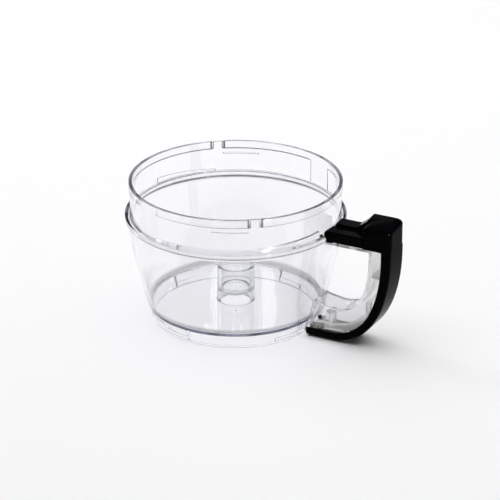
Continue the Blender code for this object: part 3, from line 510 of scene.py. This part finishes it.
# coverShell: a u-shaped section swept down the back of the handle. Section points are (across, depth),
# depth measured inwards from the back line, and the flange grows evenly from foot to block.
def makeCoverShell(h, surface):
    line = spineLine(h)
    line = np.concatenate([[[h["reach"], h["blockLow"] + 0.2], [h["reach"], 98.0]], line,
                           [[104.0, h["clear"]], [96.0, h["clear"]], [89.0, h["clear"]],
                            [h["footStart"] + 0.5, h["clear"]], [h["footStart"], h["clear"]]]])
    normal = inward(line)
    count = len(line)
    share = np.linspace(0, 1, count)
    deep = h["depthTop"] + (h["depthFoot"] - h["depthTop"]) * share
    deep[-1] -= 0.5
    half, side, wall = h["half"], h["sideWall"], h["wall"]
    tuck = np.zeros(count)
    tuck[-1] = 0.5
    inner = wall + 0 * tuck
    corners = [(-half + tuck, deep), (-half + tuck, tuck), (half - tuck, tuck), (half - tuck, deep),
               (half - side, deep), (half - side, inner), (-half + side, inner), (-half + side, deep)]
    fillets = [0.7, h["round"], h["round"], 0.7, 0.5, 1.2, 1.2, 0.5]
    shape = np.stack([np.stack([a + 0 * share, d + 0 * share], -1) for a, d in corners])
    shape = rounded(shape, fillets, 6)
    x = line[:, 0] + normal[:, 0] * shape[..., 1]
    z = line[:, 1] + normal[:, 1] * shape[..., 1]
    points = place(np.stack([x, shape[..., 0], z], -1))
    return gridPiece("coverShell", points.transpose(1, 0, 2), surface)


# topBlock: horizontal sections from the roof inside, down the inner faces, round the lower rim, up the
# outer faces and over the rounded top. On the far half the front face slopes down to the arm as a wedge.
def makeTopBlock(h, surface):
    half, top, r, wall = h["half"], h["blockTop"], h["blockRound"], h["wall"]
    low, foot = h["blockLow"], h["wedgeFoot"]
    turn = np.linspace(0, math.pi / 2, 7)
    upright = np.array([low, low + 0.5, 105, foot - 0.05, foot + 0.05, 115])
    outerZ = np.concatenate([upright, top - r + r * np.sin(turn)])
    outerIn = np.concatenate([0 * upright, r * (1 - np.cos(turn))])
    innerZ = np.array([top - wall, top - wall - 0.1, 112, 105, low])
    innerIn = np.array([wall + 0.2, wall, wall, wall, wall])
    z = np.concatenate([innerZ, outerZ])
    inset = np.concatenate([innerIn, outerIn])
    isInner = np.concatenate([np.ones(len(innerZ)), np.zeros(len(outerZ))])
    climb = np.clip((z - foot) / (top - 2.5 - foot), 0, 1) ** 0.8
    slope = h["wedgeStart"] + (h["wedgeEnd"] - h["wedgeStart"]) * climb
    hasWedge = (z > foot) & (isInner < 1)
    front = h["blockStart"] + 0 * z
    wedge = np.where(hasWedge, slope, front - 0.02)
    step = 0.4 + 0 * z
    side = half - np.where(isInner > 0, h["sideWall"], inset)
    corners = [(front + inset, -side), (front + inset, step), (wedge + inset, step + inset * 0.6),
               (wedge + inset, side), (h["reach"] - inset, side), (h["reach"] - inset, -side)]
    fillets = [1.6, 0.4, 0.8, 1.8, h["round"], h["round"]]
    shape = rounded(np.stack([np.stack([a, b], -1) for a, b in corners]), fillets, 6)
    tiltLow = 110
    lift = h["blockTilt"] * np.clip((z - tiltLow) / (top - tiltLow), 0, 1)
    height = z + lift * shape[..., 1] / half
    points = np.concatenate([shape, height[..., None]], -1)
    return gridPiece("topBlock", place(points).transpose(1, 0, 2), surface)


# armBar: sections across the arm from the bowl to the block. The first ones lie on circles about the
# bowl's axis, nearer on the low half than on the raised half, and blend into straight ones.
def makeArmBar(h, surface):
    half, low, top = h["half"] - 0.05, h["armLow"], h["armTop"]
    raised = top + h["armRise"]
    along = np.array([0, 0.04, 0.12, 0.3, 0.6, 1.0, 1.02, 2.0, 3.0])
    count = len(along)
    hook = np.where(along <= 1.0, low - h["armHook"], low)
    tuck = np.array([0.6, 0.2, 0.0] + [0.0] * (count - 3))
    corners = [(-half, hook + tuck), (-half, top - tuck), (0.0, top - tuck), (0.15, raised - tuck),
               (half, raised - tuck), (half, low + tuck), (0.2, low + tuck), (0.0, hook + tuck)]
    shape = np.stack([np.stack([a + 0 * along, b + 0 * along], -1) for a, b in corners])
    shape = rounded(shape, [1.0, 1.7, 0.3, 0.5, 1.7, 1.0, 0.2, 0.2], 5)
    across = shape[..., 0]
    near = np.sqrt(h["nearRoot"] ** 2 - across ** 2)
    far = np.sqrt(h["farRoot"] ** 2 - across ** 2)
    root = np.where(across < 0.02, near, far) + 0.03
    x = np.where(along <= 1.0, root + (h["hookEnd"] - root) * np.clip(along, 0, 1),
                 h["hookEnd"] + (h["blockStart"] - 0.3 - h["hookEnd"]) * np.clip((along - 1) / 2, 0, 1))
    points = place(np.stack([x, across, shape[..., 1]], -1))
    return gridPiece("armBar", points.transpose(1, 0, 2), surface)


# cutSlot(): a box-shaped hole by a boolean, applied at once
def cutSlot(target, name, low, high):
    tool = bmesh.new()
    bmesh.ops.create_cube(tool, size=1)
    for vert in tool.verts:
        vert.co = place(np.array([b if side > 0 else a for a, b, side in zip(low, high, vert.co)]))
    mesh = bpy.data.meshes.new(name)
    tool.to_mesh(mesh)
    tool.free()
    cutter = bpy.data.objects.new(name, mesh)
    scene.collection.objects.link(cutter)
    change = target.modifiers.new(name, "BOOLEAN")
    change.object, change.operation = cutter, "DIFFERENCE"
    bpy.context.view_layer.update()
    done = bpy.data.meshes.new_from_object(target.evaluated_get(bpy.context.evaluated_depsgraph_get()))
    target.modifiers.clear()
    target.data = done
    bpy.data.objects.remove(cutter)


def makeHandle(h, surface):
    shell, block, arm = makeCoverShell(h, surface), makeTopBlock(h, surface), makeArmBar(h, surface)
    y0, y1, z0, z1 = h["slot"]
    cutSlot(block, "slotCut", (h["blockStart"] - 4, y0, z0), (h["blockStart"] + h["wall"] + 1, y1, z1))
    x0, x1, y0, y1 = h["nubSlot"]
    cutSlot(shell, "nubCut", (x0, y0, -3), (x1, y1, h["clear"] + 4))
    for made, node in ((shell, "handle_cover"), (block, "handle_cover"), (arm, "arm_cover")):
        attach(made, "bowl")
        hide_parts(node)
    print("handle covers")


makeHandle(handle, glossBlack)

# the spring gets a mesh of its own
spring = nodes["return_spring"]
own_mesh(spring)
print("spring")


# studio: lengths in metres, power in watts
studio = {"floorColour": (0.9, 0.9, 0.9), "radius": 4.5, "room": (0.10, 0.10, 0.11)}
# the overhead lights the ground and doesn't show in the clear walls, and the key lamp gives only glints
lamps = {
    "overhead": {"place": (-0.1, 0.55, 2.4), "aim": (0, 0.15, 0), "size": (4.6, 4.6), "power": 122,
                 "hiddenFrom": ("transmission", "glossy")},
    "keyLamp": {"place": (1.5, -0.7, 1.6), "aim": (0, 0, 0.1), "size": (0.3, 0.3), "power": 150,
                "hiddenFrom": ("diffuse",)},
    "leftBox": {"place": (-1.9, 0.4, 1.5), "aim": (0, 0, 0.1), "size": (0.5, 1.2), "power": 5,
                "hiddenFrom": ()}}
# the bowl's floor mirrors a pale card behind it, and two narrow tubes as upright streaks
behind = {"tubes": {"tubeLeft": (-0.10, 0.035), "tubeRight": (0.055, 0.05)}, "tubeDistance": 3.0,
          "tubeHeight": 1.5, "tubeLength": 1.6, "tubePower": 4.2,
          "cardDistance": 3.3, "cardHeight": 1.35, "cardSize": (3.2, 1.9), "cardPower": 9,
          "aim": (0, 0, 0.05)}


# flatDisc(): rings of points about the bowl's axis at the height of the ground
def flatDisc(name, radii, columns):
    angles = np.linspace(0, 2 * math.pi, columns, endpoint=False)
    r = np.asarray(radii)[:, None]
    points = np.stack([r * np.cos(angles) + axisX, r * np.sin(angles), 0 * r * angles], -1)
    rows = len(radii)
    i, j = np.meshgrid(np.arange(rows - 1), np.arange(columns), indexing="ij")
    k = (j + 1) % columns
    faces = np.stack([i * columns + j, i * columns + k, (i + 1) * columns + k, (i + 1) * columns + j], -1)
    mesh = bpy.data.meshes.new(name)
    mesh.from_pydata(points.reshape(-1, 3).tolist(), [], faces.reshape(-1, 4).tolist())
    mesh.shade_smooth()
    made = bpy.data.objects.new(name, mesh)
    scene.collection.objects.link(made)
    return made


def makeStudio(s):
    radii = np.concatenate([[0.001], np.linspace(0.2, s["radius"], 16)])
    floor = flatDisc("paperFloor", radii, 96)
    made, tree, shader = newMaterial("paperSweep")
    shader.inputs["Base Color"].default_value = (*s["floorColour"], 1)
    shader.inputs["Roughness"].default_value = 0.6
    shader.inputs["Specular IOR Level"].default_value = 0.2
    floor.data.materials.append(made)
    world = bpy.data.worlds.new("world")
    world.use_nodes = True
    world.node_tree.nodes["Background"].inputs["Color"].default_value = (*s["room"], 1)
    scene.world = world


def softBox(name, spot, aim, size, power, hiddenFrom=()):
    data = bpy.data.lights.new(name, "AREA")
    data.shape = "RECTANGLE"
    data.size, data.size_y = size
    data.energy = power
    made = bpy.data.objects.new(name, data)
    scene.collection.objects.link(made)
    made.location = spot
    made.rotation_mode = "QUATERNION"
    made.rotation_quaternion = (Vector(aim) - Vector(spot)).to_track_quat("-Z", "Y")
    for ray in hiddenFrom:
        setattr(made, "visible_" + ray, False)


def hangBehind(b, azimuth):
    away = Vector((-math.sin(azimuth), math.cos(azimuth), 0))
    right = Vector((math.cos(azimuth), math.sin(azimuth), 0))
    for name, (side, width) in b["tubes"].items():
        spot = away * b["tubeDistance"] + right * side + Vector((0, 0, b["tubeHeight"]))
        softBox(name, spot, b["aim"], (width, b["tubeLength"]), b["tubePower"] * width)
    spot = away * b["cardDistance"] + Vector((0, 0, b["cardHeight"]))
    softBox("backCard", spot, b["aim"], b["cardSize"], b["cardPower"], ("diffuse",))


makeStudio(studio)
for name, lamp in lamps.items():
    softBox(name, lamp["place"], lamp["aim"], lamp["size"], lamp["power"], lamp["hiddenFrom"])
hangBehind(behind, math.radians(camera["azimuth"]))
scene.view_settings.view_transform = "Standard"
scene.cycles.max_bounces = 24
scene.cycles.transmission_bounces = 24
scene.cycles.glossy_bounces = 12
print("studio lit")
